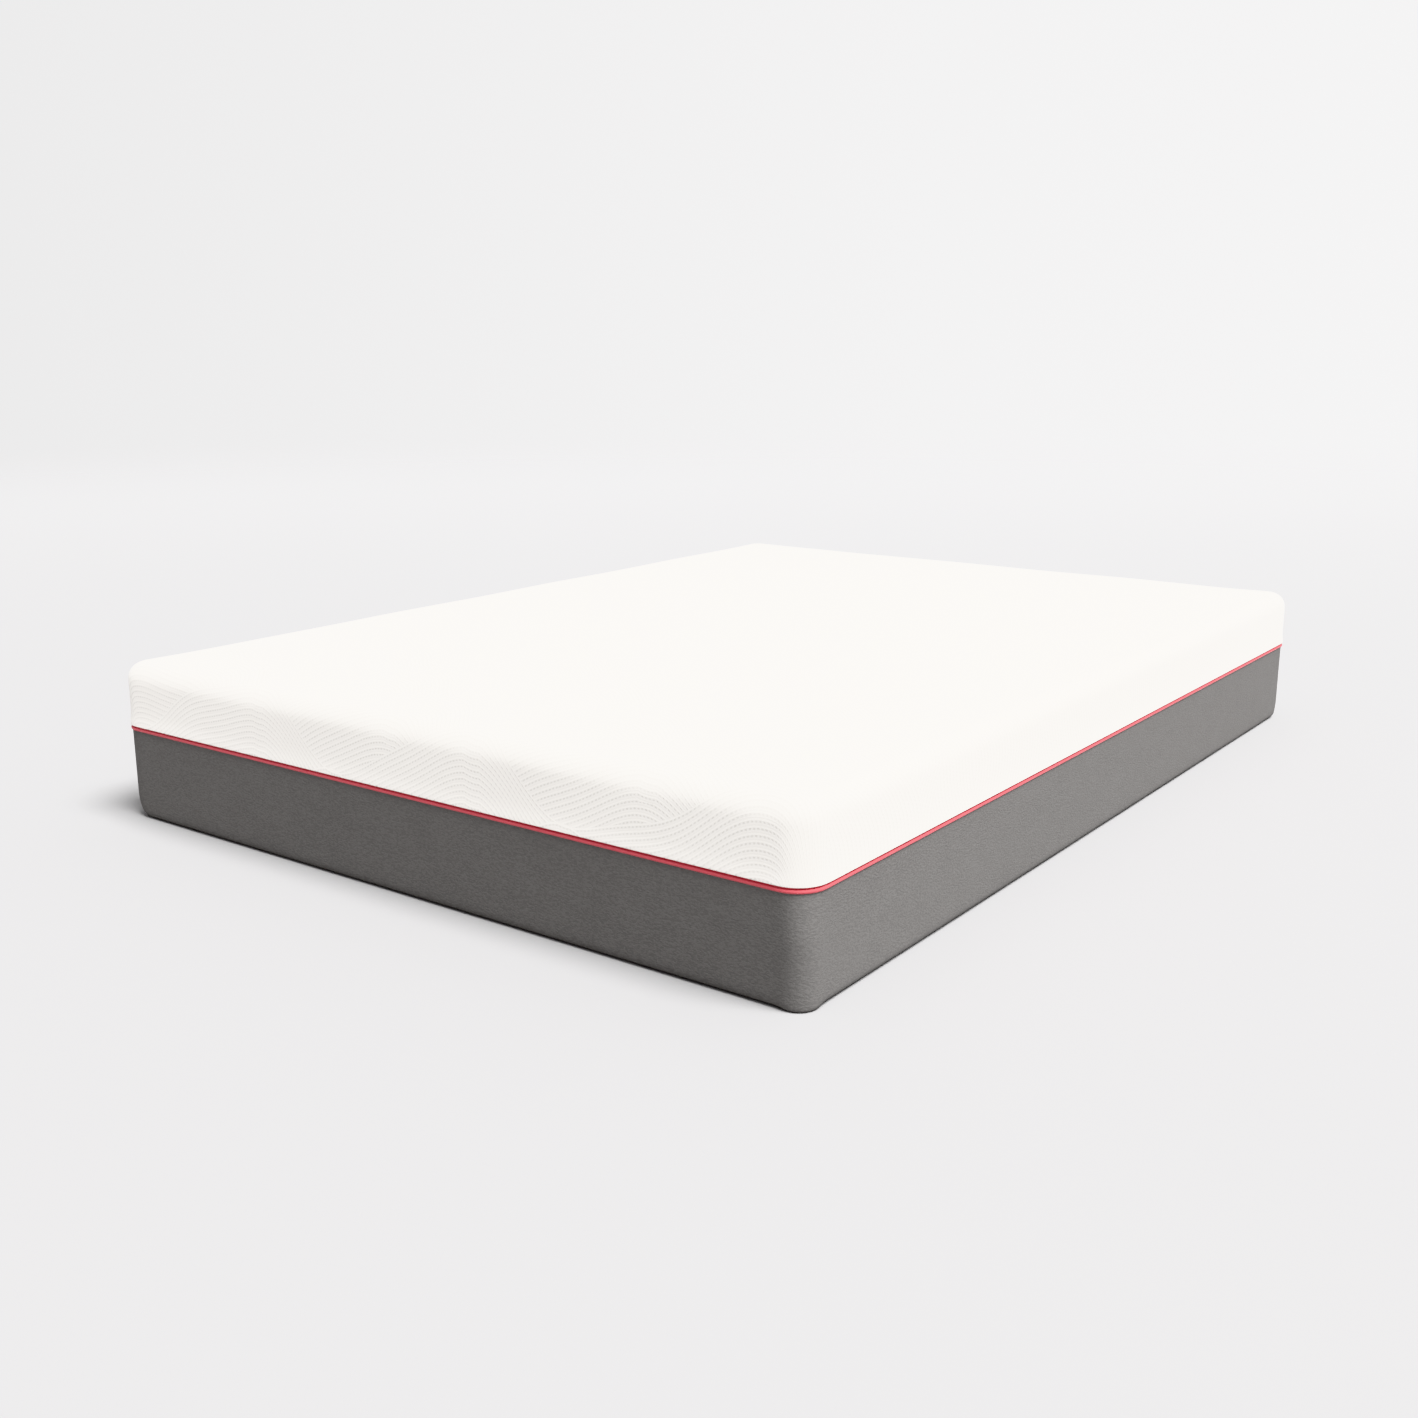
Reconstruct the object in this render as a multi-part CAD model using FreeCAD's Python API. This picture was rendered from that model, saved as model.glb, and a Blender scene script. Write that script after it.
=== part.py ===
"""Memory foam mattress with a two-part zip-off cover.

Units are millimetres. The origin is on the floor under the middle of the
mattress, +X runs across its width, +Y runs along its length towards the head
and +Z is up. A white knitted top cover meets a grey lower cover at a zip that
runs all round the sides. A piped edge on the lower cover hides the zip. Inside
are three glued foam layers in a thin liner.

Distances called inset are measured inwards from the top cover's outer face,
which is the widest outline of the mattress.
"""

import FreeCAD
import Part
import math
import os

# Overall size
width = 1400.0
length = 1900.0
height = 268.0
corner_radius = 45.0
top_edge_radius = 38.0
bottom_edge_radius = 14.0

# Where the covers meet
zip_height = 160.0
zip_slot = 2.3
cover_overhang = 3.0

# Cover fabrics
cover_thickness = 3.0
border_thickness = 1.2
underside_hem_width = 60.0
underside_seam_radius = 30.0
panel_gap = 0.3
seam_tape_width = 18.0
seam_tape_thickness = 0.6

# Piping along the top of the lower cover
piping_diameter = 5.2
piping_wall = 0.7
piping_fit = 0.05
flange_thickness = 1.0
flange_depth = 12.0

# Zip tapes and coils
tape_thickness = 0.5
tape_upright = 4.5
tape_slant = 7.0
tape_sewn = 12.0
coil_diameter = 1.6
coil_gap = 1.4

# Slider and pull tab
slider_length = 9.0
slider_plate = 0.8
slider_clearance = 0.3
slider_corner = 0.7
post_width = 0.8
post_length = 3.0
bridge_thickness = 1.3
bridge_length = 6.0
pin_radius = 0.9
pin_clearance = 0.08
pin_wall = 1.1
pin_outset = 1.9
tab_gap = 0.3
tab_arm = 1.4
tab_thickness = 1.6
tab_reach = 26.0
tab_width = 8.0
tab_hole_radius = 1.6
tab_window = 0.9
slider_park = 115.0
coil_end_gap = 2.0
stop_length = 2.2

# Core
core_clearance = 0.4
core_top_gap = 0.5
core_bottom_gap = 0.6
liner_thickness = 0.8
liner_fit = 0.1
memory_foam_thickness = 50.0
transition_foam_thickness = 40.0
groove_width = 6.0
groove_depth = 32.0
groove_pitch = 26.0
shoulder_grooves = 11
hip_grooves = 9
shoulder_zone_y = 430.0
hip_zone_y = -140.0

# Care label
label_width = 60.0
label_drop = 85.0
label_thickness = 0.4
label_x = 430.0

# Places that follow from the sizes above
half_width = width / 2
half_length = length / 2
piping_radius = piping_diameter / 2
piping_top = zip_height - zip_slot / 2
piping_z = piping_top - piping_radius
cover_hem_z = zip_height + zip_slot / 2
border_inner = cover_overhang + border_thickness
border_top = piping_z - piping_radius - piping_fit
flange_inner = border_inner + flange_thickness
underside_seam = cover_overhang + underside_hem_width

# The slider's outer plate runs just inside the piping, which sets the zip's depth.
slider_outer = border_inner + piping_radius + slider_clearance
tape_outer = slider_outer + slider_plate + slider_clearance
tape_inner = tape_outer + tape_thickness
coil_inner = tape_inner + coil_diameter
slider_inner = coil_inner + slider_clearance
slider_back = slider_inner + slider_plate
liner_outer = slider_back + core_clearance
liner_inner = liner_outer + liner_thickness
foam_inset = liner_inner + liner_fit

coil_centre = coil_gap / 2 + coil_diameter / 2
coil_edge = coil_gap / 2 + coil_diameter
slider_half_width = coil_edge + slider_clearance + slider_plate

slider_x = -half_width + slider_park
coil_end_x = slider_x + slider_length / 2 + coil_end_gap
lower_coil_end_x = slider_x - slider_length / 2 - slider_clearance
stop_end_x = lower_coil_end_x - stop_length
coil_start_x = stop_end_x - stop_length


def outline(inset, radius=None):
    """Closed rounded-rectangle wire at z = 0, starting at the middle of the +X side."""
    if radius is None:
        radius = corner_radius - inset
    a = half_width - inset
    b = half_length - inset
    edges = [Part.makeLine((a, 0, 0), (a, b - radius, 0))]
    edges += corner_and_side((a - radius, b - radius), radius, 0, (-a + radius, b, 0))
    edges += corner_and_side((-a + radius, b - radius), radius, 90, (-a, -b + radius, 0))
    edges += corner_and_side((-a + radius, -b + radius), radius, 180, (a - radius, -b, 0))
    edges += corner_and_side((a - radius, -b + radius), radius, 270, (a, 0, 0))
    return Part.Wire(edges)


def corner_and_side(centre, radius, start_angle, side_end):
    """A quarter turn about centre, then the straight side up to side_end."""
    points = []
    for angle in (start_angle, start_angle + 45, start_angle + 90):
        turn = math.radians(angle)
        x = centre[0] + radius * math.cos(turn)
        y = centre[1] + radius * math.sin(turn)
        points.append(FreeCAD.Vector(x, y, 0))
    arc = Part.Arc(points[0], points[1], points[2]).toShape()
    return [arc, Part.makeLine(points[2], FreeCAD.Vector(*side_end))]


def open_run(start_x, end_x):
    """The outline from start_x on the head side, all the way round to end_x on it."""
    radius = corner_radius
    a = half_width
    b = half_length
    edges = [Part.makeLine((start_x, b, 0), (-a + radius, b, 0))]
    edges += corner_and_side((-a + radius, b - radius), radius, 90, (-a, -b + radius, 0))
    edges += corner_and_side((-a + radius, -b + radius), radius, 180, (a - radius, -b, 0))
    edges += corner_and_side((a - radius, -b + radius), radius, 270, (a, b - radius, 0))
    edges += corner_and_side((a - radius, b - radius), radius, 0, (end_x, b, 0))
    return Part.Wire(edges)


def slab(inset, bottom, top, bottom_radius=0.0, top_radius=0.0, plan_radius=None):
    """A solid with the mattress's outline, its bottom and top edges rounded."""
    face = Part.Face(outline(inset, plan_radius))
    face.translate(FreeCAD.Vector(0, 0, bottom))
    solid = face.extrude(FreeCAD.Vector(0, 0, top - bottom))
    for radius, level in ((bottom_radius, bottom), (top_radius, top)):
        if radius > 0:
            rim = [e for e in solid.Edges if is_level(e, level)]
            solid = solid.makeFillet(radius, rim)
    return solid


def is_level(edge, level):
    box = edge.BoundBox
    return abs(box.ZMin - level) < 1e-6 and abs(box.ZMax - level) < 1e-6


def closed_ring(points):
    """Sweep a closed section, given as (inset, z) points, all round the outline."""
    corners = [FreeCAD.Vector(half_width - inset, 0, z) for inset, z in points]
    return sweep(outline(0.0), Part.makePolygon(corners + corners[:1]))


def round_ring(inset, z, radius):
    """Sweep a circle all round the outline."""
    centre = FreeCAD.Vector(half_width - inset, 0, z)
    circle = Part.makeCircle(radius, centre, FreeCAD.Vector(0, 1, 0))
    return sweep(outline(0.0), Part.Wire([circle]))


def open_strip(points, start_x, end_x):
    """Sweep a closed section along the outline, open at the head side."""
    corners = [FreeCAD.Vector(start_x, half_length - inset, z) for inset, z in points]
    return sweep(open_run(start_x, end_x), Part.makePolygon(corners + corners[:1]))


def open_rod(inset, z, radius, start_x, end_x):
    """Sweep a circle along the outline, open at the head side."""
    centre = FreeCAD.Vector(start_x, half_length - inset, z)
    circle = Part.makeCircle(radius, centre, FreeCAD.Vector(1, 0, 0))
    return sweep(open_run(start_x, end_x), Part.Wire([circle]))


def sweep(path, section):
    solid = Part.Wire(path).makePipeShell([section], True, False)
    if solid.Volume < 0:
        solid.reverse()
    return solid


def head_box(x_low, x_high, inset_low, inset_high, z_low, z_high):
    """A box on the head side, placed by its insets."""
    corner = FreeCAD.Vector(x_low, half_length - inset_high, z_low)
    return Part.makeBox(x_high - x_low, inset_high - inset_low, z_high - z_low, corner)


# Top cover and its half of the zip

def top_cover():
    outer = slab(0.0, cover_hem_z, height, top_radius=top_edge_radius)
    inner_radius = top_edge_radius - cover_thickness
    inner_top = height - cover_thickness
    inner_bottom = cover_hem_z - cover_thickness
    inner = slab(cover_thickness, inner_bottom, inner_top, top_radius=inner_radius)
    return outer.cut(inner)


def tape_section(side, seam_inset):
    """A zip tape's section: upright by the coil, then slanting out to its seam."""
    edge = zip_height + side * coil_gap / 2
    bend = zip_height + side * tape_upright
    seam = bend + side * tape_slant
    end = seam + side * tape_sewn
    seam_inner = seam_inset + tape_thickness
    return [
        (tape_outer, edge),
        (tape_outer, bend),
        (seam_inset, seam),
        (seam_inset, end),
        (seam_inner, end),
        (seam_inner, seam),
        (tape_inner, bend),
        (tape_inner, edge),
    ]


def upper_zip_tape():
    return open_strip(tape_section(1, cover_thickness), coil_start_x, stop_end_x)


def upper_zip_coil():
    z = zip_height + coil_centre
    inset = tape_inner + coil_diameter / 2
    return open_rod(inset, z, coil_diameter / 2, coil_start_x, coil_end_x)


# Lower cover and its half of the zip

def side_border():
    outer = slab(cover_overhang, 0.0, border_top, bottom_radius=bottom_edge_radius)
    inner_radius = bottom_edge_radius - border_thickness
    inner = slab(border_inner, border_thickness, border_top + 1, bottom_radius=inner_radius)
    window = underside_plate(0.0, -1.0, border_thickness + 1)
    return outer.cut(inner).cut(window)


def underside_plate(inside_seam, bottom, top):
    """A flat plate whose edge lies a set distance inside the underside's seam."""
    plan_radius = underside_seam_radius - inside_seam
    return slab(underside_seam + inside_seam, bottom, top, plan_radius=plan_radius)


def base_panel():
    return underside_plate(panel_gap, 0.0, border_thickness)


def base_seam_tape():
    top = border_thickness + seam_tape_thickness
    outer = underside_plate(-seam_tape_width / 2, border_thickness, top)
    inner = underside_plate(seam_tape_width / 2, border_thickness - 1, top + 1)
    return outer.cut(inner)


def piping_cover():
    flange = closed_ring([
        (border_inner, piping_z),
        (flange_inner, piping_z),
        (flange_inner, border_top - flange_depth),
        (border_inner, border_top - flange_depth),
    ])
    roll = round_ring(border_inner, piping_z, piping_radius)
    bore = round_ring(border_inner, piping_z, piping_radius - piping_wall)
    return roll.fuse(flange).cut(bore)


def piping_cord():
    radius = piping_radius - piping_wall - piping_fit
    return round_ring(border_inner, piping_z, radius)


def lower_zip_tape():
    return open_strip(tape_section(-1, flange_inner), coil_start_x, stop_end_x)


def lower_zip_coil():
    z = zip_height - coil_centre
    inset = tape_inner + coil_diameter / 2
    return open_rod(inset, z, coil_diameter / 2, coil_start_x, lower_coil_end_x)


def zip_end_stops():
    """Moulded stops on the lower tape, past each end of the lower coil."""
    z_high = zip_height - coil_gap / 2
    z_low = zip_height - coil_edge
    stops = []
    for x_low in (stop_end_x, coil_start_x):
        stops.append(head_box(x_low, x_low + stop_length, tape_inner, coil_inner, z_low, z_high))
    return Part.makeCompound(stops)


def care_label():
    top = border_top
    outer = cover_overhang - label_thickness
    left = label_x - label_width / 2
    return head_box(left, left + label_width, outer, cover_overhang, top - label_drop, top)


# Slider and pull tab

def zip_slider_body():
    left = slider_x - slider_length / 2
    right = slider_x + slider_length / 2
    low = zip_height - slider_half_width
    high = zip_height + slider_half_width
    outer_plate = head_box(left, right, slider_outer, slider_outer + slider_plate, low, high)
    inner_plate = head_box(left, right, slider_inner, slider_back, low, high)
    outer_plate = round_plate(outer_plate)
    inner_plate = round_plate(inner_plate)
    post_low = zip_height - post_width / 2
    post_high = zip_height + post_width / 2
    body = outer_plate.fuse(inner_plate)
    body = body.fuse(head_box(
        left + slider_corner, left + slider_corner + post_length,
        slider_outer, slider_back, post_low, post_high))
    flange_start = tape_inner + slider_clearance
    for z_low in (low, high - slider_plate):
        flange = head_box(
            left + slider_corner, right - slider_corner,
            flange_start, slider_back, z_low, z_low + slider_plate)
        body = body.fuse(flange)
    return body.removeSplitter()


def round_plate(plate):
    """Round a slider plate's four corners."""
    across = [e for e in plate.Edges if abs(e.BoundBox.YLength - slider_plate) < 1e-6]
    return plate.makeFillet(slider_corner, across)


def pin_axis(z):
    return FreeCAD.Vector(slider_x, half_length + pin_outset, z)


def zip_slider_bridge():
    """The upright eye on the slider, which reaches out through the slot."""
    z_low = zip_height - bridge_thickness / 2
    eye_radius = pin_radius + pin_clearance + pin_wall
    stem = head_box(
        slider_x - bridge_length / 2, slider_x + bridge_length / 2,
        0.0, slider_outer, z_low, z_low + bridge_thickness)
    neck = head_box(
        slider_x - eye_radius, slider_x + eye_radius,
        -pin_outset, 0.0, z_low, z_low + bridge_thickness)
    up = FreeCAD.Vector(0, 0, 1)
    eye = Part.makeCylinder(eye_radius, bridge_thickness, pin_axis(z_low), up)
    hole = Part.makeCylinder(pin_radius + pin_clearance, bridge_thickness, pin_axis(z_low), up)
    return stem.fuse(neck).fuse(eye).cut(hole).removeSplitter()


def zip_pull_tab():
    arm_start = bridge_thickness / 2 + tab_gap
    neck = arm_start + tab_arm
    eye_radius = pin_radius + pin_clearance + pin_wall
    inset = -pin_outset - tab_thickness / 2
    window_end = slider_x + eye_radius + tab_window
    flare = window_end + tab_width
    end = slider_x + tab_reach
    half = tab_width / 2
    y = half_length - inset
    points = [
        (slider_x, -neck),
        (window_end, -neck),
        (flare, -half),
        (end, -half),
        (end, half),
        (flare, half),
        (window_end, neck),
        (slider_x, neck),
    ]
    corners = [FreeCAD.Vector(x, y, zip_height + z) for x, z in points]
    face = Part.Face(Part.makePolygon(corners + corners[:1]))
    blade = face.extrude(FreeCAD.Vector(0, -tab_thickness, 0))
    tip = [e for e in blade.Edges if is_tip(e, end)]
    blade = blade.makeFillet(half * 0.75, tip)
    window = head_box(
        slider_x - eye_radius, window_end, inset - 1, inset + tab_thickness + 1,
        zip_height - arm_start, zip_height + arm_start)
    blade = blade.cut(window)
    hole_start = FreeCAD.Vector(end - half, y, zip_height)
    inwards = FreeCAD.Vector(0, -1, 0)
    blade = blade.cut(Part.makeCylinder(tab_hole_radius, tab_thickness, hole_start, inwards))
    up = FreeCAD.Vector(0, 0, 1)
    pin = Part.makeCylinder(pin_radius, 2 * neck, pin_axis(zip_height - neck), up)
    for z_low in (zip_height - neck, zip_height + arm_start):
        boss = Part.makeCylinder(pin_radius + pin_clearance, tab_arm, pin_axis(z_low), up)
        pin = pin.fuse(boss)
    return blade.fuse(pin).removeSplitter()


def is_tip(edge, end):
    box = edge.BoundBox
    return box.XMin > end - 1e-6 and abs(box.YLength - tab_thickness) < 1e-6


# Foam core

core_bottom = border_thickness + seam_tape_thickness + core_bottom_gap
core_top = height - cover_thickness - core_top_gap
core_bottom_radius = bottom_edge_radius + cover_overhang - liner_outer
core_top_radius = top_edge_radius - liner_outer


def core_block(depth):
    """The core's outer form, drawn in by depth on every side."""
    return slab(
        liner_outer + depth, core_bottom + depth, core_top - depth,
        core_bottom_radius - depth, core_top_radius - depth)


def inner_liner():
    return core_block(0.0).cut(core_block(liner_thickness))


def foam_layer(bottom, top):
    """The part of the foam core between two levels."""
    corner = FreeCAD.Vector(-width, -length, bottom)
    band = Part.makeBox(2 * width, 2 * length, top - bottom, corner)
    return core_block(liner_thickness + liner_fit).common(band)


foam_bottom = core_bottom + liner_thickness + liner_fit
foam_top = core_top - liner_thickness - liner_fit
memory_foam_bottom = foam_top - memory_foam_thickness
transition_foam_bottom = memory_foam_bottom - transition_foam_thickness


def memory_foam_layer():
    return foam_layer(memory_foam_bottom, foam_top)


def transition_foam_layer():
    return foam_layer(transition_foam_bottom, memory_foam_bottom)


def support_foam_base():
    """The base foam, with cross cuts that soften it under shoulders and hips."""
    foam = foam_layer(foam_bottom, transition_foam_bottom)
    for centre, count in ((shoulder_zone_y, shoulder_grooves), (hip_zone_y, hip_grooves)):
        first = centre - (count - 1) * groove_pitch / 2 - groove_width / 2
        for i in range(count):
            corner = FreeCAD.Vector(
                -width, first + i * groove_pitch, transition_foam_bottom - groove_depth)
            foam = foam.cut(Part.makeBox(2 * width, groove_width, 2 * groove_depth, corner))
    return foam


nodes = [
    memory_foam_layer,
    transition_foam_layer,
    support_foam_base,
    inner_liner,
    top_cover,
    upper_zip_tape,
    upper_zip_coil,
    side_border,
    base_panel,
    base_seam_tape,
    piping_cover,
    piping_cord,
    lower_zip_tape,
    lower_zip_coil,
    zip_end_stops,
    care_label,
    zip_slider_body,
    zip_slider_bridge,
    zip_pull_tab,
]

os.makedirs("parts", exist_ok=True)
for node in nodes:
    shape = node()
    print(node.__name__, len(shape.Solids), "solid, valid", shape.isValid(), round(shape.Volume))
    shape.exportStep("parts/" + node.__name__ + ".step")
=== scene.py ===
"""Looks for a foam mattress with a knitted zip-off top cover over a grey lower cover.

Distances are metres. Inset is measured inwards from the top cover's outer face, at the
middle of each side. The head end is +Y, where the zip's slider and the label are.
"""

from math import atan2, copysign, pi, radians, sin, tau

import bmesh
import bpy
from mathutils import Matrix, Vector, noise


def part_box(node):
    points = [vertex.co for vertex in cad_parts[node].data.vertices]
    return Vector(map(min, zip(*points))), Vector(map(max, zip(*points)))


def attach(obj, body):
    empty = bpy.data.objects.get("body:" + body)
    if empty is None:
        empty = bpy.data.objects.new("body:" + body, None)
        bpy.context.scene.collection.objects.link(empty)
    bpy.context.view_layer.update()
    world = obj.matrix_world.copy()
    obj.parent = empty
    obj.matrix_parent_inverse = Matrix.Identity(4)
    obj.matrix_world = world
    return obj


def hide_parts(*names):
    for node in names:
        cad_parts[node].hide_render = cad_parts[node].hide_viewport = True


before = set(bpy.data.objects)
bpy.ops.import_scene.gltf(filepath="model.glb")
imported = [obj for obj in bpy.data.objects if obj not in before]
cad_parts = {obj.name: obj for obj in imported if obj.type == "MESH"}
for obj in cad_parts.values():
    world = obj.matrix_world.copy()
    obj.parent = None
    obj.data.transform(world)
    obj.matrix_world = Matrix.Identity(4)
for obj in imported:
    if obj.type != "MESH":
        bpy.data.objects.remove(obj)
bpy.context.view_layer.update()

# Outline of the mattress
cover_low, cover_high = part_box("top_cover")
HALF_WIDTH = cover_high.x
HALF_LENGTH = cover_high.y
TOP = cover_high.z
CORNER = 0.045
TOP_EDGE = 0.029
BOTTOM_EDGE = 0.011
BOTTOM_CORNER = 0.026
FULL_CORNER = 0.004
CORNER_BULGE = 0.006
UNDERSIDE_CORNER = 0.093

# Cloth walls
COVER_WALL = 0.003
BORDER_WALL = 0.0012
PANEL_WALL = 0.0005
TAPE_WALL = 0.0005
LABEL_WALL = 0.0003
LINER_WALL = 0.0008

# Zip, piping and lower cover
COVER_HEM = cover_low.z
ZIP_LINE = 0.160
OVERHANG = 0.003
BORDER_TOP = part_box("side_border")[1].z
PIPING_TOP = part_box("piping_cover")[1].z
FLANGE_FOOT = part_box("piping_cover")[0].z
ROLL = 0.0030
ROLL_INSET = 0.0040
TAPE_INSET = 0.0084
COIL_OUT = 0.0016
COIL_PITCH = 0.003
COIL_WIRE = 0.00052
FLANGE_OUTER = 0.0043
FLANGE_INNER = 0.0051
UNDERSIDE_HEM = 0.060
UNDERSIDE_LEVEL = 0.0008
SEAM_TAPE_WIDTH = 0.018
DOT_PITCH = 0.026

# Core
LINER_FOOT = 0.0052
FOAM_FOOT = 0.0043
FOAM_SLACK = 0.001
FOAM_FOOT_SLACK = 0.003
FOAM_EDGE = 0.0012

# How finely the covers are divided
HALF_COLUMNS = 36
HALF_ROWS = 50
CORNER_STEPS = 6

# Cloth
SWELL_CAP = 0.003
PRESSURE = 4.0
CLOTH_FRAMES = 20

# Knit
LINE_PITCH = 0.0092

# Studio
FLOOR_EDGE = 10.0
BACKDROP_LEFT = 0.73
BACKDROP_RIGHT = 1.42


# ---------------------------------------------------------------- materials

class Socket:
    """A number made by a finish's nodes. Arithmetic on it adds Math nodes."""

    def __init__(self, finish, socket):
        self.finish = finish
        self.socket = socket

    def maths(self, operation, *others):
        return self.finish.node("ShaderNodeMath", {"operation": operation}, [self, *others])

    def __add__(self, other):
        return self.maths("ADD", other)

    def __mul__(self, other):
        return self.maths("MULTIPLY", other)

    def __sub__(self, other):
        return self.maths("SUBTRACT", other)

    def __truediv__(self, other):
        return self.maths("DIVIDE", other)

    def __pow__(self, other):
        return self.maths("POWER", other)

    def __lt__(self, other):
        return self.maths("LESS_THAN", other)

    def __gt__(self, other):
        return self.maths("GREATER_THAN", other)

    def __neg__(self):
        return self * -1.0

    def __rsub__(self, other):
        return -self + other

    __radd__ = __add__
    __rmul__ = __mul__

    def sine(self):
        return self.maths("SINE")

    def floor(self):
        return self.maths("FLOOR")

    def part(self):
        return self.maths("FRACT")

    def size(self):
        return self.maths("ABSOLUTE")

    def least(self, other):
        return self.maths("MINIMUM", other)

    def between(self, low, high):
        """0 below low and 1 above high, smooth between them. It falls where low is above high."""
        start, end, first, last = (low, high, 0.0, 1.0) if low < high else (high, low, 1.0, 0.0)
        return self.finish.node("ShaderNodeMapRange", {"interpolation_type": "SMOOTHSTEP"},
                                [self, start, end, first, last])


class Finish:
    """A material, with the nodes that make its surface."""

    def __init__(self, name, colour, roughness, **steady):
        self.material = bpy.data.materials.new(name)
        self.material.use_nodes = True
        self.tree = self.material.node_tree
        self.surface = self.tree.nodes["Principled BSDF"]
        self.set("Base Color", (*colour, 1.0))
        self.set("Roughness", roughness)
        for key, value in steady.items():
            self.set(key.replace("_", " ").title().replace("Ior", "IOR"), value)
        self.material.diffuse_color = (*colour, 1.0)

    def feed(self, place, value):
        if isinstance(value, Socket):
            self.tree.links.new(value.socket, place)
        else:
            place.default_value = value

    def node(self, kind, settings=None, inputs=(), output=0):
        made = self.tree.nodes.new(kind)
        for key, value in (settings or {}).items():
            setattr(made, key, value)
        for key, value in inputs.items() if isinstance(inputs, dict) else enumerate(inputs):
            self.feed(made.inputs[key], value)
        return Socket(self, made.outputs[output])

    def set(self, name, value):
        self.feed(self.surface.inputs[name], value)

    def parts_of(self, vector):
        split = self.node("ShaderNodeSeparateXYZ", {}, [vector]).socket.node
        return [Socket(self, place) for place in split.outputs]

    def place(self):
        return self.node("ShaderNodeTexCoord", output="Object")

    def fabric(self):
        """Distances along and across the cloth, from the piece's own flat layout."""
        return self.parts_of(self.node("ShaderNodeUVMap", {"uv_map": "Fabric"}))[:2]

    def noise(self, vector, scale, detail=2.0, roughness=0.5):
        return self.node("ShaderNodeTexNoise", {}, {
            "Vector": vector, "Scale": scale, "Detail": detail, "Roughness": roughness})

    def cells(self, vector, scale, feature="F1"):
        return self.node("ShaderNodeTexVoronoi", {"feature": feature},
                         {"Vector": vector, "Scale": scale})

    def tint(self, amount, first, second):
        """Base colour from first, where amount is 0, to second, where it is 1."""
        self.set("Base Color", self.node("ShaderNodeMix", {"data_type": "RGBA"}, {
            0: amount, 6: (*first, 1.0), 7: (*second, 1.0)}, output=2))

    def relief(self, height, strength=1.0):
        """Bump from a height in metres."""
        self.set("Normal", self.node("ShaderNodeBump", {}, {
            "Strength": strength, "Distance": 1.0, "Height": height}))


def shade(colour, factor):
    return tuple(channel * factor for channel in colour)


def plain_weave(u, v, pitch):
    """Over and under threads, from 0 to 1 high."""
    across, along = u / pitch, v / pitch
    over = ((across.floor() + along.floor()) / 2.0).part() * 2.0
    warp = (across.part() * pi).sine()
    weft = (along.part() * pi).sine()
    return over * warp + (1.0 - over) * weft


def knit_loops(u, v, wale, course):
    """Rows of V-shaped loops, from 0 to 1 high."""
    column = (u / wale).part()
    slant = (column - 0.5).size()
    loop = ((v / course + slant * 0.9) * tau).sine() * 0.5 + 0.5
    rib = (column * pi).sine()
    return loop * 0.5 + rib * 0.5


def wave_lines(u, v):
    """The knitted wave pattern: families of lines under wavy crests, each cut off by the next.

    Gives how deep a line is pulled in, from 0 to 1, and how far a point is below its crest.
    """
    crest_gap, far = 0.122, 10.0
    level = (v / crest_gap).floor()
    below = far
    sway = (u * (tau / 1.27)).sine() * 0.35
    for step in range(3):
        crest = level + step
        long_wave = (u * (tau / 0.52) + crest * 2.35 + sway).sine() * 0.058
        short_wave = (u * (tau / 0.229) + crest * 4.3).sine() * 0.011
        drop = crest * crest_gap + long_wave + short_wave - v
        drop = drop + (drop < 0.0) * far
        below = drop.least(below)
    line = (below / LINE_PITCH).floor()
    off_line = ((below / LINE_PITCH).part() - 0.5).size()
    stitch = ((u / 0.0062 + line * 0.5).part() - 0.5).size()
    pulled = off_line.between(0.30, 0.05) * (0.5 + 0.5 * stitch.between(0.38, 0.16))
    return pulled, below


def white_knit():
    white = (0.858, 0.834, 0.797)
    made = Finish("knit_white", white, 0.86, sheen_weight=0.25, sheen_roughness=0.5)
    u, v = made.fabric()
    pulled, below = wave_lines(u, v)
    puff = ((below / LINE_PITCH).part() * pi).sine()
    loops = knit_loops(u, v, 0.0017, 0.0021)
    soft = made.noise(made.place(), 9.0, 3.0)
    # The pulled lines and the gaps between the knit loops are painted darker: painted shade in the
    # knit's grooves. The soft noise adds tone that differs at random.
    made.tint(pulled * 0.95 + (1.0 - loops) * 0.08 + soft.between(0.35, 0.75) * 0.08,
              white, shade(white, 0.78))
    made.set("Roughness", 0.84 + pulled * 0.1)
    made.relief(puff * 0.0003 - pulled * 0.0003 + loops * 0.00006 + soft * 0.0005, 0.8)
    return made


def grey_cloth():
    grey = (0.127, 0.1225, 0.119)
    made = Finish("border_grey", grey, 0.9, specular_ior_level=0.25)
    u, v = made.fabric()
    place = made.place()
    grain = made.node("ShaderNodeMapping", {}, {"Vector": place, "Scale": (1.0, 1.0, 1.7)})
    pebble = made.noise(grain, 215.0, 3.0, 0.6)
    mottle = made.noise(place, 26.0, 4.0, 0.55)
    fleck = made.noise(place, 900.0, 1.0, 0.7)
    weave = plain_weave(u, v, 0.0011)
    seam_at = HALF_LENGTH - CORNER + CORNER * pi / 2 + HALF_WIDTH - CORNER
    seam = (u - seam_at).size().between(0.0016, 0.0002)
    crinkle = pebble.between(0.36, 0.64)
    made.tint(crinkle * 0.45 + mottle * 0.3 + fleck * 0.25, shade(grey, 0.84), shade(grey, 1.16))
    made.set("Roughness", 0.84 + pebble * 0.12)
    made.relief(crinkle * 0.00022 + weave * 0.00006 + mottle * 0.0005 - seam * 0.0009, 0.9)
    return made


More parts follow.
